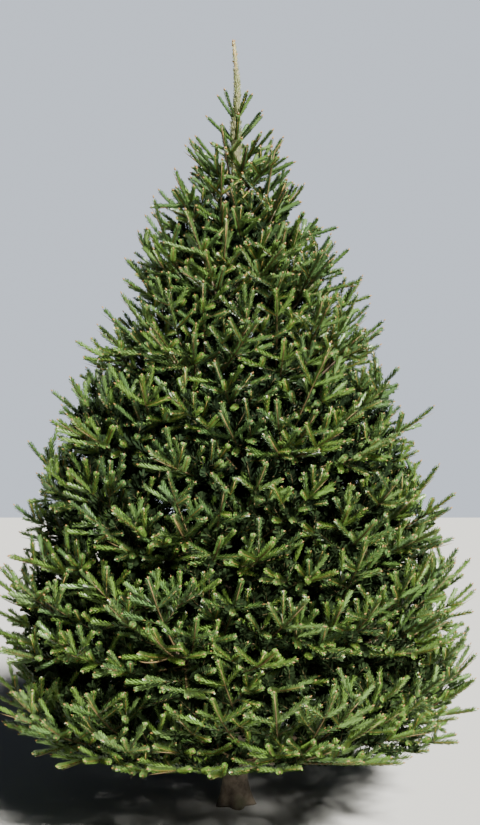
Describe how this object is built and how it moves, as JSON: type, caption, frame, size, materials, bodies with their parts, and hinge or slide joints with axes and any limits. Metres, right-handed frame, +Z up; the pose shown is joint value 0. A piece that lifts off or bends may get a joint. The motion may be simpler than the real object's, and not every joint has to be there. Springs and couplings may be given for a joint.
{
  "type": "fraser fir christmas tree",
  "caption": "Whole cone-shaped fir grown as a Christmas tree, rooted in the ground: straight trunk, whorls of upswept boughs, dense needled sprays, upright leading shoot.",
  "frame": {"origin": "centre of the flat cut under the trunk, at ground level", "axes": "+Z up the trunk to the tip of the leading shoot, -Y towards the viewer of the picture, +X to the viewer's right"},
  "size_m": [1.7563, 1.7444, 2.67],
  "materials": {
    "bark": "matt",
    "foliage": "matt"
  },
  "bodies": {
    "root": {"trunk": "bark", "bough_whorl_1_a": "bark", "foliage_whorl_1_a": "foliage", "bough_whorl_1_b": "bark", "foliage_whorl_1_b": "foliage", "bough_whorl_1_c": "bark", "foliage_whorl_1_c": "foliage", "bough_whorl_1_d": "bark", "foliage_whorl_1_d": "foliage", "bough_whorl_1_e": "bark", "foliage_whorl_1_e": "foliage", "bough_whorl_2_a": "bark", "foliage_whorl_2_a": "foliage", "bough_whorl_2_b": "bark", "foliage_whorl_2_b": "foliage", "bough_whorl_2_c": "bark", "foliage_whorl_2_c": "foliage", "bough_whorl_2_d": "bark", "foliage_whorl_2_d": "foliage", "bough_whorl_2_e": "bark", "foliage_whorl_2_e": "foliage", "bough_whorl_3_a": "bark", "foliage_whorl_3_a": "foliage", "bough_whorl_3_b": "bark", "foliage_whorl_3_b": "foliage", "bough_whorl_3_c": "bark", "foliage_whorl_3_c": "foliage", "bough_whorl_3_d": "bark", "foliage_whorl_3_d": "foliage", "bough_whorl_4_a": "bark", "foliage_whorl_4_a": "foliage", "bough_whorl_4_b": "bark", "foliage_whorl_4_b": "foliage", "bough_whorl_4_c": "bark", "foliage_whorl_4_c": "foliage", "bough_whorl_4_d": "bark", "foliage_whorl_4_d": "foliage", "bough_whorl_5_a": "bark", "foliage_whorl_5_a": "foliage", "bough_whorl_5_b": "bark", "foliage_whorl_5_b": "foliage", "bough_whorl_5_c": "bark", "foliage_whorl_5_c": "foliage", "bough_whorl_5_d": "bark", "foliage_whorl_5_d": "foliage", "foliage_whorl_6_a": "foliage", "foliage_whorl_6_b": "foliage", "foliage_whorl_6_c": "foliage", "foliage_whorl_6_d": "foliage", "foliage_whorl_6_e": "foliage", "foliage_whorl_7_a": "foliage", "foliage_whorl_7_b": "foliage", "foliage_whorl_7_c": "foliage", "foliage_whorl_7_d": "foliage", "foliage_whorl_8_a": "foliage", "foliage_whorl_8_b": "foliage", "foliage_whorl_8_c": "foliage", "foliage_whorl_8_d": "foliage", "foliage_top_ring": "foliage"}
  },
  "joints": []
}
